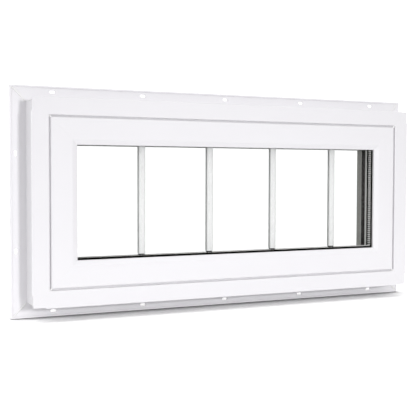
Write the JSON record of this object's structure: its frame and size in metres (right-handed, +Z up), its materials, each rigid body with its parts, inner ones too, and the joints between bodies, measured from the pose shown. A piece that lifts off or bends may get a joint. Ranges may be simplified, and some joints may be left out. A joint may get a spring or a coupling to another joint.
{
  "type": "transom window",
  "caption": "Wide fixed transom window: white welded frame with a slotted nail fin all round, fixed sash, sealed insulating glass and upright grid bars inside the glass.",
  "frame": {"origin": "on the back face of the sill's nail fin, at the middle of the width, level with the bottom edge of the frame's front face", "axes": "+X to the right along the width as seen from outside, +Y into the wall towards the room, +Z up"},
  "size_m": [0.62, 0.0667, 0.304],
  "materials": {
    "frame_vinyl": "satin white extruded vinyl",
    "sash_vinyl": "satin white extruded vinyl",
    "bead_vinyl": "satin white extruded vinyl",
    "stop_vinyl": "satin light grey extruded vinyl",
    "glass": "clear float glass",
    "gasket": "black glazing gasket",
    "sealant": "dark edge sealant",
    "spacer_metal": "dull ribbed spacer",
    "block_rubber": "dense rubber",
    "grid_enamel": "white enamel",
    "clip_plastic": "grey moulded clip"
  },
  "bodies": {
    "root": {"frame_head": "frame_vinyl", "frame_sill": "frame_vinyl", "frame_jamb_left": "frame_vinyl", "frame_jamb_right": "frame_vinyl", "sash_top": "sash_vinyl", "sash_bottom": "sash_vinyl", "sash_left": "sash_vinyl", "sash_right": "sash_vinyl", "glazing_bead_top": "bead_vinyl", "glazing_bead_bottom": "bead_vinyl", "glazing_bead_left": "bead_vinyl", "glazing_bead_right": "bead_vinyl", "room_stop_top": "stop_vinyl", "room_stop_bottom": "stop_vinyl", "room_stop_left": "stop_vinyl", "room_stop_right": "stop_vinyl", "spacer_top": "spacer_metal", "spacer_bottom": "spacer_metal", "spacer_left": "spacer_metal", "spacer_right": "spacer_metal", "glass_outer": "glass", "glass_inner": "glass", "gasket_outer": "gasket", "gasket_inner": "gasket", "reveal_seal": "gasket", "edge_seal": "sealant", "setting_block_1": "block_rubber", "setting_block_2": "block_rubber", "grid_bar_1": "grid_enamel", "grid_bar_2": "grid_enamel", "grid_bar_3": "grid_enamel", "grid_bar_4": "grid_enamel", "grid_clip_bottom_1": "clip_plastic", "grid_clip_bottom_2": "clip_plastic", "grid_clip_bottom_3": "clip_plastic", "grid_clip_bottom_4": "clip_plastic", "grid_clip_top_1": "clip_plastic", "grid_clip_top_2": "clip_plastic", "grid_clip_top_3": "clip_plastic", "grid_clip_top_4": "clip_plastic"}
  },
  "joints": []
}
